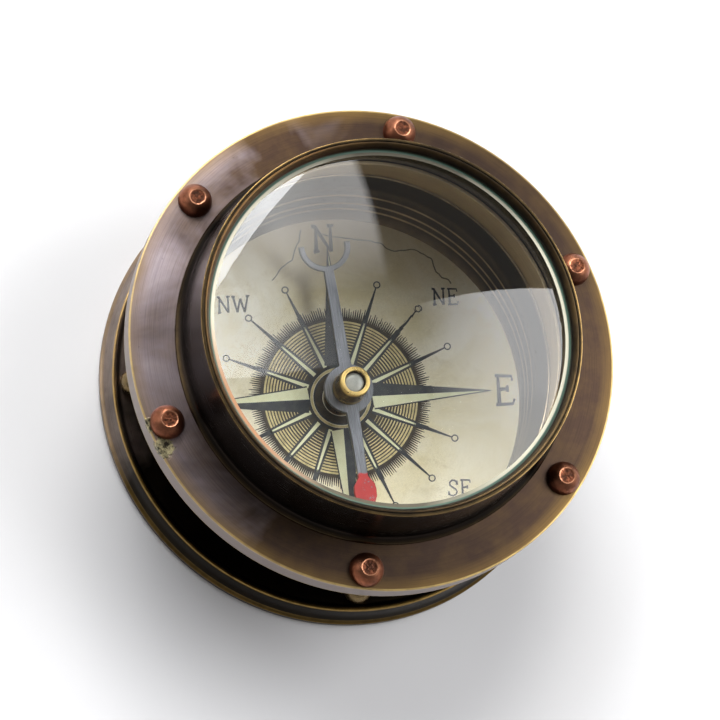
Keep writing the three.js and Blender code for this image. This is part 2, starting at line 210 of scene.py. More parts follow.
# Builds the nodes of a material, a lamp or the world
class Tree:
    def __init__(self, owner):
        self.owner = owner
        owner.use_nodes = True
        self.tree = owner.node_tree
        self.tree.nodes.clear()

    def add(self, kind, inputs=None, **settings):
        node = self.tree.nodes.new("ShaderNode" + kind)
        for key, value in settings.items():
            setattr(node, key, value)
        for key, value in (inputs or {}).items():
            if isinstance(value, bpy.types.NodeSocket):
                self.tree.links.new(value, node.inputs[key])
            else:
                node.inputs[key].default_value = value
        return node

    def math(self, operation, a, b=0.0, clamp=False):
        return self.add("Math", {0: a, 1: b}, operation=operation, use_clamp=clamp).outputs[0]

    def times(self, a, b, clamp=False):
        return self.math("MULTIPLY", a, b, clamp)

    def plus(self, a, b):
        return self.math("ADD", a, b)

    def vector(self, operation, a, b=(0, 0, 0)):
        node = self.add("VectorMath", {0: a, 1: b}, operation=operation)
        scalar = operation in ("LENGTH", "DOT_PRODUCT", "DISTANCE")
        return node.outputs["Value" if scalar else "Vector"]

    def noise(self, vector, scale, detail=3.0, roughness=0.55, distortion=0.0):
        inputs = {"Vector": vector, "Scale": scale, "Detail": detail, "Roughness": roughness}
        return self.add("TexNoise", {**inputs, "Distortion": distortion}).outputs["Fac"]

    def between(self, value, low, high, a=0.0, b=1.0):
        inputs = {"Value": value, "From Min": low, "From Max": high, "To Min": a, "To Max": b}
        return self.add("MapRange", inputs, clamp=True).outputs["Result"]

    def mix(self, factor, a, b):
        return self.add("Mix", {0: factor, 6: a, 7: b}, data_type="RGBA").outputs[2]

    def bump(self, height, strength, distance):
        inputs = {"Height": height, "Strength": strength, "Distance": distance}
        return self.add("Bump", inputs).outputs["Normal"]

    # Distance from the Z axis
    def radius(self, place):
        return self.vector("LENGTH", self.vector("MULTIPLY", place, (1, 1, 0)))

    def finish(self, shader):
        self.add("OutputMaterial", {"Surface": shader.outputs[0]})
        return self.owner

    def surface(self, inputs):
        return self.finish(self.add("BsdfPrincipled", inputs))


# A new material's nodes, and the place of a point on the object
def material(name):
    tree = Tree(bpy.data.materials.new(name))
    return tree, tree.add("TexCoord").outputs["Object"]


# A colour written as it looks on a screen, 0 to 255
def rgb(red, green, blue):
    def linear(value):
        value = value / 255
        return value / 12.92 if value <= 0.04045 else ((value + 0.055) / 1.055) ** 2.4

    return linear(red), linear(green), linear(blue), 1.0


# Width of a groove, how soon it changes round the axis, and how far out the lean of the painted highlight is
# counted
GROOVE_WIDTH = 0.16
GROOVE_ARC = 4.0
PAINTED_HIGHLIGHT_REACH = 40.0


# Fine grooves that run round the Z axis: how deep each place is, 0 to 1
def lathe_grooves(tree, place):
    unit = tree.vector("NORMALIZE", tree.vector("MULTIPLY", place, (1, 1, 0)))
    parts = tree.add("SeparateXYZ", {0: unit})
    height = tree.add("SeparateXYZ", {0: place}).outputs[2]
    across = tree.times(tree.radius(place), 1 / (GROOVE_WIDTH * MM))
    along = tree.times(height, 1 / (GROOVE_WIDTH * MM))
    x = tree.times(parts.outputs[0], GROOVE_ARC)
    y = tree.times(parts.outputs[1], GROOVE_ARC)
    where = tree.add("CombineXYZ", {0: x, 1: y, 2: across})
    inputs = {"Vector": where.outputs[0], "W": along, "Scale": 1.0, "Detail": 3.0, "Roughness": 0.65}
    return tree.add("TexNoise", inputs, noise_dimensions="4D").outputs["Fac"]


# Turned brass under an uneven patina, rubbed bright where the mesh's wear attribute says. The tone turns from
# brown to tint where the patina's blotches and the lean together pass start; the lean is a painted highlight,
# one side made lighter where the lamps fall. Gold shows through towards the outside of the band worn, past
# rim's radius the metal has rim's colour, and patch gives the middle and radius of each rough cast spot.
def turned_brass(name, gold, brown, tint, rubbed, rough, lean=(0, 0), start=0.3, worn=None, rim=None,
                 patch=None, stretch=0.7, blotches=0.25, metal=1.0, coat=0.3):
    tree, place = material(name)
    blotch = tree.noise(place, 60.0, 4.0, 0.55, 0.4)
    cloud = tree.noise(place, 260.0, 5.0, 0.65)
    speck = tree.noise(place, 1100.0, 4.0, 0.7)
    groove = lathe_grooves(tree, place)
    reach = PAINTED_HIGHLIGHT_REACH * MM
    # Painted highlight: the tint grows towards lean, the side where the lamps fall
    painted_highlight = tree.vector("DOT_PRODUCT", place, (lean[0] / reach, lean[1] / reach, 0))
    side = tree.plus(painted_highlight, tree.between(blotch, 0.3, 0.7, 0.25, 0.75))
    tone = tree.mix(tree.between(side, start, start + 0.5), brown, tint)
    radius = tree.radius(place)
    if worn:
        outwards = tree.between(radius, worn[0] * MM, worn[1] * MM)
        outwards = tree.times(outwards, tree.between(blotch, 0.3, 0.62, 0.25, 1.0))
        tone = tree.mix(outwards, tone, gold)
    tone = tree.mix(tree.between(cloud, 0.4, 0.75, 0.0, blotches), tone, gold)
    tone = tree.mix(tree.between(groove, 0.45, 0.75, 0.0, 0.3), tone, rgb(30, 22, 17))
    tone = tree.mix(tree.between(speck, 0.66, 0.76, 0.0, 0.45), tone, rgb(26, 19, 15))
    wear = tree.add("Attribute", attribute_name="wear").outputs["Fac"]
    nicks = tree.between(tree.noise(place, 420.0, 4.0, 0.6), 0.3, 0.6, 0.5, 1.0)
    if rim:
        bare = tree.between(radius, (rim[0] - 0.03) * MM, rim[0] * MM)
        tone = tree.mix(bare, tone, rim[1])
    tone = tree.mix(tree.times(wear, nicks, clamp=True), tone, rubbed)
    roughness = tree.plus(tree.between(groove, 0.3, 0.7, rough - 0.06, rough + 0.06),
                          tree.between(cloud, 0.35, 0.7, -0.03, 0.04))
    height = tree.plus(groove, tree.times(speck, 0.5))
    if patch:
        near = []
        for centre, size in patch:
            away = tree.vector("DISTANCE", place, [value * MM for value in centre])
            near.append(tree.math("DIVIDE", away, size * MM))
        ragged = tree.between(tree.noise(place, 900.0, 4.0, 0.7), 0.3, 0.7, -0.3, 0.3)
        edge = tree.plus(tree.math("MINIMUM", *near), ragged)
        rough_cast = tree.between(edge, 1.0, 0.85)
        crumbs = tree.mix(tree.between(speck, 0.4, 0.6), rgb(50, 43, 28), rgb(200, 190, 150))
        tone = tree.mix(rough_cast, tone, crumbs)
        roughness = tree.plus(roughness, tree.times(rough_cast, 0.3))
        lumps = tree.times(tree.times(rough_cast, speck), 9.0)
        height = tree.plus(height, lumps)
    tangent = tree.add("Tangent", direction_type="RADIAL", axis="Z").outputs[0]
    return tree.surface({
        "Base Color": tone,
        "Metallic": metal,
        "Roughness": roughness,
        "Anisotropic": stretch,
        "Anisotropic Rotation": 0.25,
        "Tangent": tangent,
        "Normal": tree.bump(height, 0.4, 0.02 * MM),
        "Coat Weight": coat,
        "Coat Roughness": 0.35,
        "Coat IOR": 1.6,
    })


# Metal without a lathe's grooves, mottled between two tones
def mottled_metal(name, light, dark, rubbed, rough, coarse, pits, pit_mm):
    tree, place = material(name)
    mottle = tree.noise(place, coarse, 5.0, 0.65, 0.4)
    fine = tree.noise(place, coarse * 5, 4.0, 0.7)
    tone = tree.mix(tree.between(mottle, 0.36, 0.66), light, dark)
    wear = tree.add("Attribute", attribute_name="wear").outputs["Fac"]
    tone = tree.mix(tree.times(wear, 1.0, clamp=True), tone, rubbed)
    tone = tree.mix(tree.between(fine, 0.62, 0.74, 0.0, 0.45), tone, rgb(26, 18, 14))
    hollow = tree.times(wear, -1.0, clamp=True)
    pitted = tree.between(tree.noise(place, 1500.0, 3.0, 0.6), 0.4, 0.55)
    tone = tree.mix(tree.times(hollow, pitted), tone, rgb(52, 38, 32))
    return tree.surface({
        "Base Color": tone,
        "Metallic": 1.0,
        "Roughness": tree.between(mottle, 0.3, 0.7, rough - 0.08, rough + 0.12),
        "Normal": tree.bump(tree.plus(mottle, fine), pits, pit_mm * MM),
    })


# Steel brushed along direction. Paint is (start, red, deep), and covers what lies before its start that way.
def brushed_steel(name, colour, dark, direction, rough, paint=None):
    tree, place = material(name)
    along = tree.vector("DOT_PRODUCT", place, direction)
    aside = Vector(direction).cross(AXIS_Z)
    across = tree.vector("DOT_PRODUCT", place, tuple(aside))
    where = tree.add("CombineXYZ", {0: tree.times(along, 260.0), 1: tree.times(across, 9000.0)})
    brush = tree.noise(where.outputs[0], 1.0, 3.0, 0.6)
    stain = tree.noise(place, 500.0, 4.0, 0.6)
    tone = tree.mix(tree.between(brush, 0.3, 0.7), dark, colour)
    tone = tree.mix(tree.between(stain, 0.6, 0.74, 0.0, 0.5), tone, rgb(52, 46, 40))
    metallic = 1.0
    roughness = tree.between(brush, 0.3, 0.7, rough - 0.06, rough + 0.1)
    if paint:
        start, red, deep = paint
        ragged = tree.plus(along, tree.between(stain, 0.3, 0.7, -0.35 * MM, 0.35 * MM))
        covered = tree.between(ragged, start * MM, (start - 0.15) * MM)
        chipped = tree.between(tree.noise(place, 1500.0, 3.0, 0.6), 0.3, 0.37, 0.0, 1.0)
        covered = tree.times(covered, chipped)
        tone = tree.mix(covered, tone, tree.mix(stain, red, deep))
        metallic = tree.math("SUBTRACT", 1.0, covered)
        roughness = tree.plus(roughness, tree.times(covered, 0.1))
    return tree.surface({
        "Base Color": tone,
        "Metallic": metallic,
        "Roughness": roughness,
        "Normal": tree.bump(brush, 0.3, 0.01 * MM),
    })


# Clear glass that bends what is seen through it, and lets the lamps' light through
def clear_glass(name, tint, ior):
    tree, place = material(name)
    smear = tree.noise(place, 120.0, 3.0, 0.5, 1.5)
    glass = tree.add("BsdfPrincipled", {
        "Base Color": tint,
        "Roughness": tree.between(smear, 0.5, 0.8, 0.0, 0.015),
        "IOR": ior,
        "Transmission Weight": 1.0,
    })
    path = tree.add("LightPath")
    passing = tree.math("MAXIMUM", path.outputs["Is Shadow Ray"], path.outputs["Is Diffuse Ray"])
    clear = tree.add("BsdfTransparent", {"Color": tint})
    both = tree.add("MixShader", {0: passing, 1: glass.outputs[0], 2: clear.outputs[0]})
    return tree.finish(both)


# The ground shoulder of the glass: green at its outer edge, cream on its east and west sides and dark on its
# north and south as painted light and shade, unevenly, and orange-brown towards the south-west
def ground_glass(name):
    tree, place = material(name)
    edge = span("lens")[0] * MM
    grain = tree.noise(place, 2600.0, 3.0, 0.7)
    patchy = tree.noise(place, 90.0, 3.0, 0.6)
    radius = tree.radius(place)
    sideways = tree.math("ABSOLUTE", tree.vector("DOT_PRODUCT", place, (1 / edge, -0.2 / edge, 0)))
    # Painted light and shade: cream where the sides are lit, dark elsewhere
    painted_lit_sides = tree.between(tree.plus(sideways, tree.times(patchy, 0.4)), 0.5, 1.0)
    tone = tree.mix(painted_lit_sides, rgb(96, 90, 74), rgb(236, 232, 208))
    south_westward = tree.vector("DOT_PRODUCT", place, (-0.86 / edge, -0.5 / edge, 0))
    tone = tree.mix(tree.between(south_westward, 0.8, 0.95), tone, rgb(196, 140, 102))
    tone = tree.mix(tree.between(radius, edge - 0.85 * MM, edge - 0.7 * MM), tone, rgb(82, 110, 96))
    return tree.surface({
        "Base Color": tone,
        "Roughness": tree.between(grain, 0.3, 0.7, 0.3, 0.55),
        "IOR": 1.5,
        "Transmission Weight": 0.15,
        "Normal": tree.bump(grain, 0.35, 0.03 * MM),
    })


# A pale grey-white stone that light half passes through: its pale colour is a painted highlight, standing for
# the white reflection on the jewel
def pale_painted_highlight_stone(name):
    tree, place = material(name)
    cloud = tree.noise(place, 900.0, 3.0, 0.6)
    return tree.surface({
        "Base Color": tree.mix(cloud, rgb(214, 214, 208), rgb(176, 178, 172)),
        "Roughness": 0.06,
        "IOR": 1.6,
        "Transmission Weight": 0.35,
    })


PAPER = rgb(250, 246, 230)


def card_paper():
    tree, place = material("card_paper")
    cloud = tree.noise(place, 70.0, 5.0, 0.6, 0.8)
    foxing = tree.noise(place, 260.0, 5.0, 0.7, 0.5)
    fibre = tree.noise(place, 4200.0, 3.0, 0.7)
    tone = tree.mix(tree.between(cloud, 0.34, 0.66), PAPER, rgb(230, 219, 178))
    tone = tree.mix(tree.between(foxing, 0.55, 0.75, 0.0, 0.5), tone, rgb(198, 184, 136))
    tone = tree.mix(tree.between(fibre, 0.4, 0.7, 0.0, 0.16), tone, rgb(150, 140, 104))
    # Browner and darker towards the north edge: partly aged browning of the paper, partly painted shade where
    # the case's north wall shadows the card
    north = tree.add("SeparateXYZ", {0: place}).outputs[1]
    ragged = tree.plus(north, tree.times(cloud, 8 * MM))
    browning_and_painted_shade = tree.between(ragged, 16 * MM, 28 * MM, 0.0, 0.6)
    tone = tree.mix(browning_and_painted_shade, tone, rgb(132, 106, 80))
    return tree.surface({
        "Base Color": tone,
        "Roughness": 0.6,
        "Normal": tree.bump(fibre, 0.25, 0.02 * MM),
    })


# Printing ink: faded in places towards the paper's colour
def ink(name, colour, faded, patchiness=0.45):
    tree, place = material(name)
    fade = tree.noise(place, 900.0, 4.0, 0.65)
    tone = tree.mix(tree.between(fade, 0.42, 0.72, 0.0, patchiness), colour, faded)
    return tree.surface({
        "Base Color": tone,
        "Roughness": 0.55,
        "Normal": tree.bump(fade, 0.1, 0.01 * MM),
    })


def floor_white():
    tree, place = material("floor_white")
    grain = tree.noise(place, 55.0, 4.0, 0.5)
    return tree.surface({
        "Base Color": tree.mix(grain, (0.76, 0.76, 0.77, 1), (0.79, 0.79, 0.795, 1)),
        "Roughness": 0.85,
        "Specular IOR Level": 0.1,
    })


def make_world():
    world = bpy.data.worlds.new("studio")
    bpy.context.scene.world = world
    tree = Tree(world)
    way = tree.add("TexCoord").outputs["Generated"]
    height = tree.add("SeparateXYZ", {0: way}).outputs[2]
    dim = tree.between(height, 0.1, 0.5)
    studio = tree.mix(dim, (0.55, 0.55, 0.56, 1), (0.14, 0.135, 0.135, 1))
    background = tree.add("Background", {"Color": studio, "Strength": 1.0})
    tree.add("OutputWorld", {"Surface": background.outputs[0]})


# Mesh helpers
def piece(name, points, faces, body, look, wear=None, smooth=True):
    mesh = bpy.data.meshes.new(name)
    mesh.from_pydata([tuple(Vector(p) * MM) for p in points], [], faces)
    mesh.validate()
    if wear:
        layer = mesh.attributes.new("wear", "FLOAT", "POINT")
        layer.data.foreach_set("value", wear)
    if smooth:
        mesh.polygons.foreach_set("use_smooth", [True] * len(mesh.polygons))
        mesh.set_sharp_from_angle(angle=SHARP)
    mesh.materials.append(look)
    made = add_object(name, mesh)
    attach(made, body)
    return made


# A profile's corners, each (radius, height, rounding, wear), with the rounded ones turned into short arcs
def rounded(corners, steps=4, fade=0.35):
    run = []
    count = len(corners)
    for i, (r, z, size, wear) in enumerate(corners):
        here = Vector((r, z))
        if size == 0:
            run.append((r, z, wear))
            continue
        before = Vector(corners[i - 1][:2])
        after = Vector(corners[(i + 1) % count][:2])
        to_before = before - here
        to_after = after - here
        near = min(size, 0.35 * to_before.length)
        far = min(size, 0.35 * to_after.length)
        start = here + to_before.normalized() * near
        end = here + to_after.normalized() * far
        if to_before.length > 3 * (near + fade):
            lead = here + to_before.normalized() * (near + fade)
            run.append((lead.x, lead.y, 0))
        for step in range(steps + 1):
            t = step / steps
            spot = start * (1 - t) ** 2 + here * 2 * t * (1 - t) + end * t ** 2
            run.append((spot.x, spot.y, wear))
        if to_after.length > 3 * (far + fade):
            trail = here + to_after.normalized() * (far + fade)
            run.append((trail.x, trail.y, 0))
    return run


# Points round a circle about an upright axis
def circle(centre, radius, height, facets):
    points = []
    for k in range(facets):
        angle = 2 * math.pi * k / facets
        points.append((centre[0] + radius * math.cos(angle), centre[1] + radius * math.sin(angle), height))
    return points


# Turns a run of (radius, height, wear) round an upright axis. A run that starts and ends on the axis closes
# there. The shift moves each ring of points sideways.
def lathe(name, run, body, look, centre=(0, 0), facets=FACETS, shift=None):
    points = []
    wear = []
    rows = []
    area = sum(a[0] * b[1] - b[0] * a[1] for a, b in zip(run, run[1:] + run[:1]))
    if area < 0:
        run = run[::-1]
    for r, z, w in run:
        dx, dy = shift(r, z) if shift else (0, 0)
        if r < TINY:
            rows.append([len(points)] * facets)
            points.append((centre[0] + dx, centre[1] + dy, z))
            wear.append(w)
            continue
        rows.append(range(len(points), len(points) + facets))
        points += circle((centre[0] + dx, centre[1] + dy), r, z, facets)
        wear += [w] * facets
    on_axis = run[0][0] < TINY and run[-1][0] < TINY
    pairs = list(zip(rows, rows[1:]))
    if not on_axis:
        pairs.append((rows[-1], rows[0]))
    faces = []
    for low, high in pairs:
        for k in range(facets):
            n = (k + 1) % facets
            # Two rows that meet on the axis give a triangle, and two that lie on it give nothing
            corners = list(dict.fromkeys((low[k], low[n], high[n], high[k])))
            if len(corners) > 2:
                faces.append(corners)
    return piece(name, points, faces, body, look, wear)


# Takes the shapes of other meshes out of one, for holes
def carve(target, tools):
    for tool in tools:
        hole = target.modifiers.new("hole", "BOOLEAN")
        hole.operation = "DIFFERENCE"
        hole.object = tool
    seen = target.evaluated_get(bpy.context.evaluated_depsgraph_get())
    carved = bpy.data.meshes.new_from_object(seen)
    carved.set_sharp_from_angle(angle=SHARP)
    target.modifiers.clear()
    target.data = carved
    for tool in tools:
        bpy.data.objects.remove(tool)


# A solid turned from a run of (radius, height), to carve a hole with
def cutter(run, centre):
    facets = 40
    points = []
    for r, z in run:
        points += [Vector(point) * MM for point in circle(centre, r, z, facets)]
    faces = [[facets - 1 - k for k in range(facets)]]
    last = (len(run) - 1) * facets
    for low in range(0, last, facets):
        for k in range(facets):
            n = (k + 1) % facets
            faces.append([low + k, low + n, low + facets + n, low + facets + k])
    faces.append([last + k for k in range(facets)])
    mesh = bpy.data.meshes.new("cutter")
    mesh.from_pydata(points, [], faces)
    return add_object("cutter", mesh)


POSTS = [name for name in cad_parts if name.startswith("post_") and "screw" not in name]
RIVETS = [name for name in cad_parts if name.startswith("rivet_")]


def make_base(look):
    radius, bottom = span("base_plate")[:2]
    ridge = radius - RIDGE_INSET
    inner = radius - FOOT_WIDTH
    spigot_top = span("compass_case")[1]
    chamfer = 0.3
    run = rounded([
        (0, FOOT_RECESS, 0, 0),
        (inner, FOOT_RECESS, 0.2, 0),
        (inner + FOOT_RECESS, bottom, 0.2, 0.3),
        (radius - chamfer, bottom, 0.15, 0.3),
        (radius, bottom + chamfer, 0.15, 0.2),
        (radius, BASE_EDGE, 0.14, 0.3),
        (radius - 0.45, BASE_EDGE + 0.3, 0.15, 0.2),
        (radius - 1.0, BASE_EDGE + 1.35, 0.8, 0),
        (ridge + 0.35, RIDGE_TOP - 0.75, 0.6, 0),
        (ridge + 0.1, RIDGE_TOP, 0.16, 0.7),
        (ridge - RIDGE_WIDTH, RIDGE_TOP - 0.1, 0.16, 0.1),
        (ridge - RIDGE_SLOPE, BASE_FLOOR, 0.3, 0),
        (CHAMBER - FIT, BASE_FLOOR, 0, 0),
        (CHAMBER - FIT, spigot_top, 0, 0),
        (0, spigot_top, 0, 0),
    ], fade=0.12)
    made = lathe("base_plate_turned", run, "housing", look)
    head_top = SCREW_SUNK + SCREW_HEAD_HEIGHT
    hole = [(SCREW_HEAD, -BEYOND), (SCREW_HEAD, SCREW_SUNK), (SCREW_HOLE, head_top)]
    hole += [(SCREW_HOLE, BASE_FLOOR + BEYOND)]
    carve(made, [cutter(hole, middle(post)) for post in POSTS])
    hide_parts("base_plate")


def make_flange(look):
    radius, bottom, top = span("flange_ring")
    run = rounded([
        (FLANGE_BORE, bottom, 0.1, 0),
        (radius, bottom, 0.25, 0.6),
        (radius, top, 0.22, 0.65),
        (FLANGE_BORE, top, 0.05, 0),
    ], steps=6, fade=0.15)
    made = lathe("flange_ring_turned", run, "housing", look)
    rivet_hole = [(RIVET_HOLE, bottom - BEYOND), (RIVET_HOLE, top + BEYOND)]
    tenon_hole = [(TENON_HOLE, bottom - BEYOND), (TENON_HOLE, bottom + TENON_DEPTH)]
    holes = [cutter(rivet_hole, middle(name)) for name in RIVETS]
    holes += [cutter(tenon_hole, middle(name)) for name in POSTS]
    carve(made, holes)
    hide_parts("flange_ring")


def make_housing(look):
    bottom, lip = span("lens_housing")[1:]
    flange_top = span("flange_ring")[2]
    lens_radius = span("lens")[0]
    bezel_bottom = span("lens_bezel")[1]
    seat = bezel_bottom - LENS_REST - LENS_EDGE
    run = rounded([
        (CHAMBER, bottom, 0, 0),
        (DRUM, bottom, 0, 0),
        (DRUM, flange_top, 0, 0),
        (COLLAR_FOOT, flange_top, 0, 0.5),
        (COLLAR_FOOT, flange_top + COLLAR_FOOT_EDGE, 0.25, 0.08),
        (COLLAR_WAIST + 0.25, flange_top + 1.1, 0.9, 0),
        (COLLAR_WAIST, flange_top + COLLAR_WAIST_HEIGHT, 0.6, 0),
        (COLLAR_TOP, lip - LIP_WALL, 0.2, 0.1),
        (COLLAR_TOP, lip, 0.1, 0.5),
        (COLLAR_TOP - LIP_WALL, lip, 0.06, 0.05),
        (COLLAR_TOP - LIP_WALL, bezel_bottom - FIT, 0, 0),
        (lens_radius + FIT, bezel_bottom - FIT, 0, 0),
        (lens_radius + FIT, seat, 0, 0),
        (CHAMBER, seat, 0.15, 0),
    ])
    made = lathe("lens_housing_turned", run, "housing", look)
    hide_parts("lens_housing")


def make_bezel(look):
    radius, bottom, top = span("lens_bezel")
    inner = span("lens")[0] - BEZEL_OVERLAP
    run = rounded([
        (inner, bottom, 0.05, 0.3),
        (radius, bottom, 0, 0),
        (radius, top, 0.06, 0.2),
        (radius - BEZEL_TOP, top, 0.1, 0.35),
        (inner, bottom + (top - bottom) / 3, 0.1, 0),
    ])
    made = lathe("lens_bezel_turned", run, "housing", look)
    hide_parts("lens_bezel")


def make_lens(clear, ground):
    radius = span("lens")[0]
    seat = span("lens_bezel")[1] - LENS_REST - LENS_EDGE
    rim = seat + LENS_EDGE
    steps = 32
    shoulder = radius - LENS_SHOULDER
    chamfer = 0.15
    hair = 0.02
    run = [(0, seat, 0), (radius - chamfer, seat, 0), (radius, seat + chamfer, 0)]
    run += [(radius, rim - chamfer, 0), (radius - chamfer, rim, 0)]
    for r in [shoulder, shoulder - hair] + [shoulder * (1 - i / steps) for i in range(1, steps + 1)]:
        rise = math.sqrt(LENS_CURVE ** 2 - r ** 2) - math.sqrt(LENS_CURVE ** 2 - shoulder ** 2)
        run.append((r, rim + rise, 0))
    made = lathe("lens_ground", run, "housing", clear)
    made.data.materials.append(ground)
    for face in made.data.polygons:
        out = Vector(face.center[:2]).length / MM
        if out > shoulder + hair and face.center[2] / MM > seat + hair / 2:
            face.material_index = 1
        if abs(face.normal.z) > 0.999 or face.material_index:
            face.use_smooth = False
    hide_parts("lens")


def make_case(look):
    radius, bottom, top = span("compass_case")
    floor = span("compass_card")[1]
    run = rounded([
        (0, bottom, 0, 0),
        (radius, bottom, 0.1, 0),
        (radius, top, 0.12, 0),
        (CASE_BORE, top, 0.14, 0.15),
        (CASE_BORE, floor, 0, 0),
        (0, floor, 0, 0),
    ])
    made = lathe("compass_case_turned", run, "housing", look)
    hole = [(STUD_HOLE, bottom - BEYOND), (STUD_HOLE, floor + BEYOND)]
    carve(made, [cutter(hole, PIVOT)])
    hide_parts("compass_case")


# The dished ring leans below its step, so that its hole lies round the card's middle
def make_card_ring(look):
    radius, bottom, top = span("card_ring")
    step = bottom + RING_STEP_HEIGHT
    step_radius = radius - RING_STEP_WIDTH

    def slope(t, wear):
        return CARD_SIGHT + (step_radius - CARD_SIGHT) * t, bottom + (step - bottom) * t, wear

    run = [slope(0, 0.3)]
    half = 0.04
    for t in RING_LINES:
        run += [slope(t - half, 0), slope(t, 0.9), slope(t + half, 0)]
    run += [(step_radius - 0.01, step - 0.05, 0.1), (step_radius + 0.05, step + 0.08, 0.12)]
    run += [(step_radius + 0.3, step + 0.8, 0)]
    run += [(radius - RING_TOP_WIDTH - 0.1, top - 0.4, 0), (radius - RING_TOP_WIDTH, top - 0.04, 1.0)]
    run += [(radius - 0.04, top, 1.0), (radius, top - 0.1, 0), (radius, bottom, 0)]

    def lean(r, z):
        if z > step or r > radius - 0.5:
            return 0, 0
        return 0, -CARD_OFF_CENTRE * (step - z) / (step - bottom)

    made = lathe("card_ring_turned", run, "housing", look, shift=lean)
    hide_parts("card_ring")


def make_card(look):
    radius, bottom, top = span("compass_card")
    rings = 10
    points = []
    for z in (top, bottom):
        for ring in range(rings + 1):
            t = ring / rings
            centre = (0, -CARD_OFF_CENTRE * (1 - t))
            points += circle(centre, CARD_HOLE + (radius - CARD_HOLE) * t, z, FACETS)

    # The faces between two rings of points, given by the first point of each
    def band(low, high):
        return [[low + k, high + k, high + (k + 1) % FACETS, low + (k + 1) % FACETS] for k in range(FACETS)]

    faces = []
    under = (rings + 1) * FACETS
    last = rings * FACETS
    for low in range(0, last, FACETS):
        faces += band(low, low + FACETS)
        faces += [face[::-1] for face in band(under + low, under + low + FACETS)]
    faces += band(last, under + last)
    faces += [face[::-1] for face in band(0, under)]
    made = piece("compass_card_printed", points, faces, "housing", look, smooth=False)
    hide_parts("compass_card")


# The card's print: flat shapes a hair above it, gathered by ink
class Print:
    def __init__(self, level):
        self.level = level
        self.points = []
        self.faces = []

    def polygon(self, corners, level):
        start = len(self.points)
        self.points += [(x, y, self.level + level) for x, y in corners]
        self.faces.append(list(range(start, start + len(corners))))

    def quad_strip(self, left, right, level):
        start = len(self.points)
        for pair in zip(left, right):
            self.points += [(x, y, self.level + level) for x, y in pair]
        for i in range(len(left) - 1):
            low = start + 2 * i
            self.faces.append([low, low + 1, low + 3, low + 2])

    def stroke(self, path, width, level, end_width):
        left = []
        right = []
        for i, spot in enumerate(path):
            back = Vector(path[max(i - 1, 0)])
            ahead = Vector(path[min(i + 1, len(path) - 1)])
            way = (ahead - back).normalized()
            half = (width + (end_width - width) * i / (len(path) - 1)) / 2
            side = Vector((-way.y, way.x)) * half
            here = Vector(spot)
            left.append(here + side)
            right.append(here - side)
        self.quad_strip(right, left, level)

    def ring(self, centre, radius, width, level, facets=24):
        outer = []
        inner = []
        for k in range(facets + 1):
            angle = math.radians(360 * k / facets)
            way = Vector((math.cos(angle), math.sin(angle)))
            outer.append(Vector(centre) + way * (radius + width / 2))
            inner.append(Vector(centre) + way * (radius - width / 2))
        self.quad_strip(inner, outer, level)

    def make(self, name, look):
        piece(name, self.points, self.faces, "housing", look, smooth=False)


# The rose, in millimetres, with each ring as (radius, width), and each ink's level above the card
ROSE_TURN = 1.9
ROSE_TIP = 20.7
ROSE_ROOT = 4.5
ROSE_HALF_WIDTH = 1.75
RAY_END = 15.95
RAY_TIP = 0.18
RAY_RING = 0.5
HUB_RINGS = ((4.3, 0.28), (3.62, 0.24))
HUB_GOLD = (3.97, 0.3)
HUB_TINT = (3.1, 1.2)
HATCH_START = 5.5
HATCH_END = 10.5
HATCH_STEP = 0.41
FRINGE_START = 10.55
FRINGE_END = 12.3
FRINGE_COUNT = 250
CARD_FACETS = 96
TINT_LEVEL = 0.012
HATCH_LEVEL = 0.02
FRINGE_LEVEL = 0.022
RAY_EDGE_LEVEL = 0.026
RAY_LEVEL = 0.03
ROSE_LEVEL = 0.04
ROSE_EDGE_LEVEL = 0.044


def from_pivot(radius, degrees):
    angle = math.radians(degrees)
    return PIVOT.x + radius * math.cos(angle), PIVOT.y + radius * math.sin(angle)


# Where a main arrow's edge starts, on one side of it
def arrow_corner(turn, side):
    spread = math.degrees(math.atan2(ROSE_HALF_WIDTH, ROSE_ROOT))
    return from_pivot(math.hypot(ROSE_ROOT, ROSE_HALF_WIDTH), turn + side * spread)


def print_arrows(dark, cream):
    for k in range(4):
        turn = ROSE_TURN + 90 * k
        tip = from_pivot(ROSE_TIP, turn)
        root = from_pivot(ROSE_ROOT - 0.2, turn)
        dark.polygon([root, tip, arrow_corner(turn, 1)], ROSE_LEVEL)
        cream.polygon([root, arrow_corner(turn, -1), tip], ROSE_LEVEL)
        for side in (1, -1):
            dark.stroke([arrow_corner(turn, side), tip], 0.2, ROSE_EDGE_LEVEL, 0.12)


def print_rays(dark, cream):
    for k in range(16):
        if k % 4 == 0:
            continue
        turn = ROSE_TURN + 22.5 * k
        inside = [from_pivot(ROSE_ROOT + 0.1, turn), from_pivot(HATCH_END + 0.3, turn)]
        outside = [from_pivot(radius, turn) for radius in (HATCH_END, FRINGE_END + 0.6, RAY_END)]
        dark.stroke(inside, 1.3, RAY_EDGE_LEVEL, 0.8)
        cream.stroke(inside, 0.54, RAY_LEVEL, 0.22)
        dark.stroke(outside, 0.7, RAY_LEVEL, RAY_TIP)
        dark.ring(from_pivot(RAY_END + RAY_RING, turn), RAY_RING - 0.08, 0.17, RAY_LEVEL)


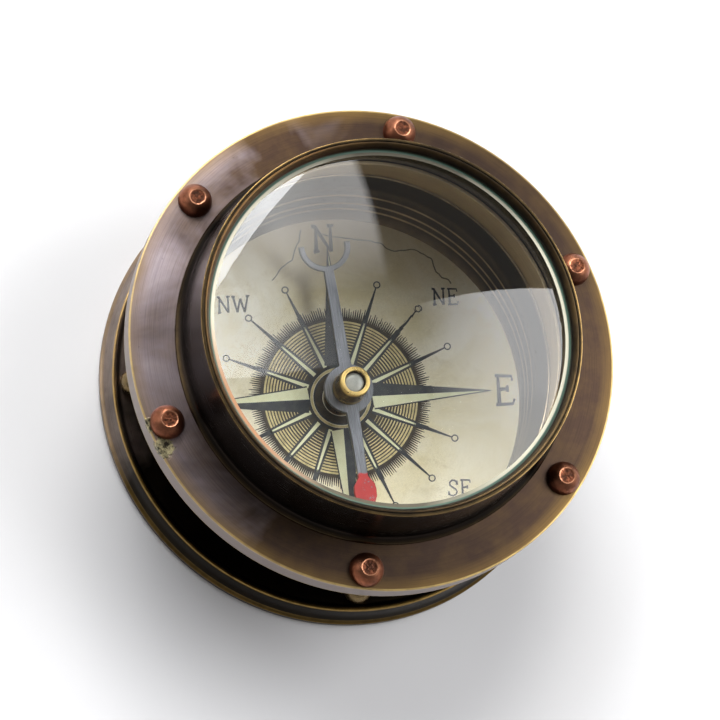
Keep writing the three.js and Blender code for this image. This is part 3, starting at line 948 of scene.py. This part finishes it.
# Gold arcs on a dark ring, heavier outwards, with a fringe of strokes round it
def print_hatching(sepia, gold):
    centre = PIVOT.xy
    tint_width = FRINGE_START - ROSE_ROOT + 0.5
    sepia.ring(centre, (ROSE_ROOT + FRINGE_START) / 2, tint_width, TINT_LEVEL, CARD_FACETS)
    radius = HATCH_START
    while radius < HATCH_END:
        outwards = (radius - HATCH_START) / (HATCH_END - HATCH_START)
        gold.ring(centre, radius, 0.08 + 0.19 * outwards, HATCH_LEVEL, CARD_FACETS)
        radius += HATCH_STEP
    for k in range(FRINGE_COUNT):
        turn = ROSE_TURN + 360 * k / FRINGE_COUNT
        reach = FRINGE_END - 0.6 * noise.noise((k * 1.37, 0.5, 0.0))
        root = from_pivot(FRINGE_START, turn)
        sepia.stroke([root, from_pivot(reach, turn + 0.3)], 0.34, FRINGE_LEVEL, 0.08)


def print_hub(dark, sepia, gold):
    centre = PIVOT.xy
    for radius, width in HUB_RINGS:
        dark.ring(centre, radius, width, RAY_LEVEL, CARD_FACETS)
    gold.ring(centre, *HUB_GOLD, HATCH_LEVEL, CARD_FACETS)
    sepia.ring(centre, *HUB_TINT, TINT_LEVEL, CARD_FACETS)


# Letters as pen strokes in a box one unit high: a width and the strokes
LETTERS = {
    "N": (0.78, [
        [(0.1, 0), (0.12, 0.95)],
        [(0.08, 1.0), (0.66, 0.0)],
        [(0.66, 0.0), (0.68, 1.0)],
        [(0, 0), (0.22, 0.02)],
        [(-0.04, 1.0), (0.16, 1.0)],
        [(0.56, 1.0), (0.8, 1.02)],
    ]),
    "E": (0.7, [
        [(0.12, 0), (0.1, 1.0)],
        [(0, 0.0), (0.6, 0.03), (0.66, 0.2)],
        [(0.1, 0.52), (0.42, 0.55)],
        [(0.42, 0.44), (0.42, 0.66)],
        [(0, 1.0), (0.58, 0.98), (0.6, 0.82)],
    ]),
    "S": (0.62, [
        [(0.54, 0.84), (0.42, 0.97), (0.24, 0.99), (0.09, 0.86), (0.1, 0.68), (0.28, 0.54), (0.46, 0.42),
         (0.55, 0.25), (0.46, 0.07), (0.28, -0.01), (0.1, 0.05), (0.02, 0.2)],
        [(0.54, 0.7), (0.55, 0.96)],
        [(0.02, 0.04), (0.02, 0.3)],
    ]),
    "W": (1.1, [
        [(0.06, 1.0), (0.28, 0.0)],
        [(0.28, 0.0), (0.5, 0.86)],
        [(0.5, 0.86), (0.74, 0.0)],
        [(0.74, 0.0), (0.98, 1.0)],
        [(-0.04, 1.0), (0.18, 1.0)],
        [(0.86, 1.0), (1.08, 1.02)],
    ]),
}


def print_word(dark, word, height, radius, turn):
    gap = 0.16
    width = sum(LETTERS[letter][0] for letter in word) + gap * (len(word) - 1)
    x, y = from_pivot(radius, turn)
    x -= width * height / 2
    y -= height / 2
    for letter in word:
        for path in LETTERS[letter][1]:
            spots = [(x + px * height, y + py * height) for px, py in path]
            thick = 0.15 * height if len(path) == 2 and path[0][0] != path[1][0] else 0.11 * height
            dark.stroke(spots, thick, RAY_LEVEL, 0.09 * height)
        x += (LETTERS[letter][0] + gap) * height


# Each word's height, and its middle's distance and direction from the pivot
WORDS = (("E", 4.0, 22.8, 1.8), ("NE", 2.2, 20.4, 42.0), ("N", 3.6, 22.0, 93), ("NW", 2.2, 19.2, 136.6),
         ("W", 3.8, 22.6, 181.8), ("SW", 2.2, 20.2, 222), ("S", 3.6, 21.6, 270), ("SE", 2.2, 20.3, -38.6))


# Coastlines as (degrees, radius) from the pivot
COASTS = (
    ((44, 22.3), (50, 22.1), (55, 23.2), (60, 23.2), (68, 21.7), (74, 22.2), (82, 22.0), (89, 22.2),
     (96, 22.9)),
    ((100, 23.6), (102, 22.0), (107, 19.8), (119, 18.4)),
)


def print_coast(line, stops):
    path = []
    steps = 8
    for (turn, reach), (next_turn, next_reach) in zip(stops, stops[1:]):
        for step in range(steps):
            t = step / steps
            here = turn + (next_turn - turn) * t
            wave = 0.25 * noise.noise((here * 0.45, 1.0, 2.0))
            path.append(from_pivot(reach + (next_reach - reach) * t * t * (3 - 2 * t) + wave, here))
    line.stroke(path, 0.2, RAY_LEVEL, 0.14)


def make_print():
    top = span("compass_card")[2]
    dark, sepia, cream, gold, faint = (Print(top) for _ in range(5))
    print_hatching(sepia, gold)
    print_hub(dark, sepia, gold)
    print_rays(dark, cream)
    print_arrows(dark, cream)
    for word, height, radius, turn in WORDS:
        print_word(dark, word, height, radius, turn)
    for stops in COASTS:
        print_coast(faint, stops)
    dark.make("print_dark", ink("ink_dark", rgb(36, 41, 48), rgb(84, 86, 80)))
    sepia.make("print_hatching", ink("ink_sepia", rgb(46, 39, 31), rgb(92, 78, 52), patchiness=0.5))
    cream.make("print_cream", ink("ink_cream", rgb(232, 234, 200), rgb(212, 210, 162)))
    gold.make("print_gold", ink("ink_gold", rgb(216, 202, 150), rgb(142, 130, 88), patchiness=0.7))
    faint.make("print_coast", ink("ink_faint", rgb(92, 88, 72), rgb(150, 144, 112), patchiness=0.6))


def make_post(name, look):
    ball = span(name)[0]
    seat = 1.7
    neck = 1.5
    pad = 2.0
    tenon = 1.2
    tenon_length = 2.0
    screw_top = BASE_FLOOR + 3.3
    flange_bottom = span("flange_ring")[1]
    foot_angle = -math.acos(seat / ball)
    neck_angle = math.acos(neck / ball)
    centre_z = BASE_FLOOR - ball * math.sin(foot_angle)
    steps = 14
    run = [(0, screw_top, 0), (SCREW_HOLE, screw_top, 0), (SCREW_HOLE, BASE_FLOOR, 0)]
    for i in range(steps + 1):
        angle = foot_angle + (neck_angle - foot_angle) * i / steps
        run.append((ball * math.cos(angle), centre_z + ball * math.sin(angle), 0.15))
    pad_run = ((neck, -2.2, 0), (neck, -1.75, 0), (pad - 0.1, -1.25, 0.5), (pad, -1.1, 0.6), (pad, -0.1, 0.4),
               (pad - 0.1, 0, 0), (tenon, 0, 0), (tenon, tenon_length, 0), (0, tenon_length, 0))
    run += [(r, flange_bottom + rise, wear) for r, rise, wear in pad_run]
    made = lathe(name + "_turned", run, "housing", look, middle(name), SMALL_FACETS)
    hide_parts(name)


# A rivet's dome, hammered a little uneven, with a pitted flat top
def make_rivet(name, look, seed):
    radius, bottom, top = span(name)
    centre = middle(name)
    flange_top = span("flange_ring")[2]
    flat = 1.4
    shank = 1.2
    dome_end = math.acos(flat / radius)
    rise = (top - flange_top) / math.sin(dome_end)
    steps = 14
    run = [(0, bottom, 0), (shank - 0.1, bottom, 0), (shank, bottom + 0.1, 0), (shank, flange_top, 0)]
    for i in range(steps + 1):
        angle = dome_end * i / steps
        run.append((radius * math.cos(angle), flange_top + rise * math.sin(angle), 0.25 * (i / steps) ** 3))
    run += [(flat - 0.06, top - 0.01, 0.9), (flat - 0.16, top - 0.01, 0.5), (flat - 0.3, top - 0.04, -0.5)]
    run += [(flat * k / 8, top - 0.05, -0.75) for k in (4, 3, 2, 1, 0)]
    made = lathe(name + "_hammered", run, "housing", look, centre, SMALL_FACETS)
    for vertex in made.data.vertices:
        spot = vertex.co / MM
        above = max(0.0, min(1.0, (spot.z - flange_top) / (top - flange_top)))
        out = Vector((spot.x - centre[0], spot.y - centre[1], 0))
        wave = noise.noise((spot.x * 0.9 + seed * 7.3, spot.y * 0.9, spot.z * 0.9))
        fine = noise.noise((spot.x * 3.1 + seed, spot.y * 3.1, 4.0))
        on_top = out.length < flat * 0.9 and spot.z > flange_top + 1
        shrink = 1 - 0.05 * above * (0.5 + wave)
        spot.x = centre[0] + out.x * shrink
        spot.y = centre[1] + out.y * shrink
        if on_top:
            spot.z += 0.06 * fine - 0.03
        vertex.co = spot * MM
    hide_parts(name)


# The way the needle points at rest, towards its crescent
def needle_way():
    turn = math.radians(NEEDLE_HEADING)
    return -math.sin(turn), math.cos(turn), 0


# Points of an arc round a place on the needle's middle line, as (across, along)
def arc(middle_along, radius, first, last):
    steps = 20
    angles = [first + (last - first) * i / steps for i in range(steps + 1)]
    return [(radius * math.cos(angle), middle_along + radius * math.sin(angle)) for angle in angles]


# Outline of the needle's blade, with its spade, hub and crescent, as one closed loop of (across, along)
def needle_outline():
    outer = CRESCENT_RADIUS
    inner = CRESCENT_RADIUS - CRESCENT_WIDTH
    right = [(0, -SPADE_END), (0.35, -SPADE_END + 0.75), (0.8, -SPADE_END + 2.0)]
    right += [(SPADE_HALF_WIDTH * 0.96, -SPADE_BELLY - 0.6), (SPADE_HALF_WIDTH, -SPADE_BELLY + 0.3)]
    right += [(SPADE_HALF_WIDTH * 0.93, -SPADE_SHOULDER - 0.25)]
    right += [(SPADE_HALF_WIDTH * 0.7, -SPADE_SHOULDER + 0.25), (NEEDLE_TIP, -SPADE_START)]
    hub_in = math.asin(NEEDLE_ROOT / NEEDLE_HUB)
    right += arc(0, NEEDLE_HUB, hub_in - math.pi / 2, math.pi / 2 - hub_in)
    right += arc(CRESCENT_DISTANCE, outer, -math.acos(NEEDLE_TIP / outer), math.asin(CRESCENT_TIP / outer))
    right += arc(CRESCENT_DISTANCE, inner, math.asin(CRESCENT_TIP / inner), -math.pi / 2)
    return right + [(-x, y) for x, y in reversed(right) if x > TINY]


def make_needle(look):
    bottom, top = span("needle")[1:]
    curve = bpy.data.curves.new("needle_outline", "CURVE")
    curve.dimensions = "2D"
    curve.fill_mode = "BOTH"
    bevel = 0.08
    curve.extrude = ((top - bottom) / 2 - bevel) * MM
    curve.bevel_depth = bevel * MM
    curve.bevel_resolution = 2
    curve.offset = -bevel * MM
    hole = []
    facets = 24
    for k in range(facets):
        angle = -2 * math.pi * k / facets
        hole.append((NEEDLE_HUB_HOLE * math.cos(angle), NEEDLE_HUB_HOLE * math.sin(angle)))
    for loop in (needle_outline(), hole):
        spline = curve.splines.new("POLY")
        spline.points.add(len(loop) - 1)
        for point, (x, y) in zip(spline.points, loop):
            point.co = (x * MM, y * MM, 0, 1)
        spline.use_cyclic_u = True
    flat = add_object("needle_flat", curve)
    mesh = bpy.data.meshes.new_from_object(flat.evaluated_get(bpy.context.evaluated_depsgraph_get()))
    bpy.data.objects.remove(flat)
    turn = Matrix.Rotation(math.radians(NEEDLE_HEADING), 4, "Z")
    lift = Vector((PIVOT.x, PIVOT.y, (bottom + top) / 2)) * MM
    mesh.transform(Matrix.Translation(lift) @ turn)
    mesh.materials.clear()
    mesh.materials.append(look)
    made = add_object("needle_blade", mesh)
    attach(made, "needle")
    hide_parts("needle")


def make_cap(look):
    radius, bottom, top = span("needle_cap")
    blade_top = span("needle")[2]
    jewel_bottom = span("cap_jewel")[1]
    run = rounded([
        (CAP_BORE, bottom, 0, 0),
        (CAP_SPIGOT, bottom, 0, 0),
        (CAP_SPIGOT, blade_top, 0, 0),
        (radius, blade_top, 0.1, 0.4),
        (radius - 0.02, blade_top + 0.5, 0.1, 0.6),
        (CAP_TOP, top, 0.22, 1.0),
        (JEWEL_SEAT, top, 0.1, 1.0),
        (JEWEL_SEAT, jewel_bottom, 0, 0),
        (CAP_BORE, jewel_bottom, 0, 0),
    ])
    centre = middle("needle_cap")
    made = lathe("needle_cap_turned", run, "needle", look, centre, SMALL_FACETS)
    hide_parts("needle_cap")


def make_jewel(look):
    radius, bottom, top = span("cap_jewel")
    cup = 0.6
    chamfer = 0.05
    dome = 0.35
    run = [(0, bottom + cup, 0), (cup, bottom, 0)]
    run += [(radius - chamfer, bottom, 0), (radius, bottom + chamfer, 0)]
    steps = 10
    for i in range(steps):
        angle = math.pi / 2 * i / steps
        run.append((radius * math.cos(angle), top - dome + dome * math.sin(angle), 0))
    run.append((0, top, 0))
    made = lathe("cap_jewel_domed", run, "needle", look, middle("cap_jewel"), SMALL_FACETS)
    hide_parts("cap_jewel")


def make_floor(look):
    mesh = bpy.data.meshes.new("floor")
    reach = 1.6
    corners = [(-reach, -reach, 0), (reach, -reach, 0), (reach, reach, 0), (-reach, reach, 0)]
    mesh.from_pydata(corners, [], [(0, 1, 2, 3)])
    mesh.materials.append(look)
    made = add_object("floor", mesh)


# Gives its look to a node that no piece replaces
def dress(node, look):
    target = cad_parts[node]
    if not target.material_slots:
        target.data.materials.append(look)
    for place in target.material_slots:
        place.material = look


bpy.context.scene.view_settings.view_transform = "Standard"
make_camera()
make_lights()
make_world()
make_floor(floor_white())

CAST_PATCH = (((-35.4, -16.7, 27.5), 1.9), ((-37.3, -13.2, 27.5), 1.2))
# The flange's lean paints a highlight: lighter mauve-grey towards the west, where the left lamps fall
flange_look = turned_brass(
    "flange_patina_and_painted_highlight", rgb(142, 112, 60), rgb(72, 53, 41), rgb(186, 172, 177), rgb(232, 202, 128), rough=0.46,
    lean=(-0.84, 0.14), start=0.89, worn=(37.5, 40.5), rim=(39.9, rgb(140, 127, 122)), patch=CAST_PATCH,
    stretch=0.45, blotches=0.2)
# The base's lean paints a highlight: lighter lilac-grey towards the west-north-west, where a lamp falls
base_look = turned_brass(
    "base_patina_and_painted_highlight", rgb(58, 46, 26), rgb(27, 21, 13), rgb(150, 134, 124), rgb(204, 166, 92), rough=0.34,
    lean=(-0.75, 0.55), start=0.98, stretch=0.4, coat=0.06)
collar_look = turned_brass(
    "collar_patina", rgb(58, 44, 31), rgb(23, 18, 14), rgb(42, 33, 26), rgb(204, 168, 104), rough=0.22,
    stretch=0.2, coat=0.15)
case_look = turned_brass(
    "case_satin", rgb(206, 182, 142), rgb(168, 146, 112), rgb(194, 172, 136), rgb(214, 198, 164), rough=0.5,
    stretch=0.2, metal=0.3)
ring_look = turned_brass(
    "ring_patina", rgb(64, 53, 38), rgb(30, 25, 20), rgb(46, 39, 31), rgb(176, 158, 128), rough=0.42,
    stretch=0.4)
# The bezel is near-black as painted shade for the gap between lip and glass, and its lean paints a brown-gold
# highlight towards the north-west
bezel_look = turned_brass(
    "bezel_patina_painted_shade_and_highlight", rgb(66, 50, 29), rgb(24, 19, 14), rgb(86, 57, 30), rgb(150, 118, 66), rough=0.34,
    lean=(-0.75, 0.7), start=0.75)
post_look = turned_brass(
    "post_patina", rgb(140, 116, 74), rgb(74, 58, 38), rgb(104, 86, 56), rgb(222, 190, 122), rough=0.28)
copper_look = mottled_metal(
    "rivet_copper", rgb(152, 92, 66), rgb(84, 50, 37), rgb(210, 150, 116), rough=0.38, coarse=330.0,
    pits=0.5, pit_mm=0.06)
cap_look = mottled_metal(
    "cap_brass", rgb(150, 126, 84), rgb(98, 80, 54), rgb(232, 200, 128), rough=0.28, coarse=700.0,
    pits=0.2, pit_mm=0.05)
steel_look = brushed_steel("pin_steel", rgb(190, 190, 194), rgb(120, 120, 124), (0, 0, 1), rough=0.32)
screw_look = brushed_steel("screw_steel", rgb(170, 170, 172), rgb(100, 98, 96), (0, 1, 0), rough=0.4)
needle_look = brushed_steel(
    "needle_steel", rgb(150, 152, 158), rgb(100, 102, 108), needle_way(), rough=0.36,
    paint=(-(SPADE_START + CARD_OFF_CENTRE) + 0.5, rgb(196, 40, 38), rgb(140, 22, 24)))

make_base(base_look)
make_flange(flange_look)
make_housing(collar_look)
make_bezel(bezel_look)
make_lens(clear_glass("lens_glass", (0.99, 1.0, 0.992, 1), ior=1.517), ground_glass("lens_ground_edge"))
make_case(case_look)
make_card_ring(ring_look)
make_card(card_paper())
make_print()
for post in POSTS:
    make_post(post, post_look)
for seed, rivet in enumerate(RIVETS):
    make_rivet(rivet, copper_look, seed)
make_needle(needle_look)
make_cap(cap_look)
make_jewel(pale_painted_highlight_stone("jewel_painted_highlight"))
dress("pivot_stud", cap_look)
dress("pivot_pin", steel_look)
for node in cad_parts:
    if node.startswith("post_screw"):
        dress(node, screw_look)
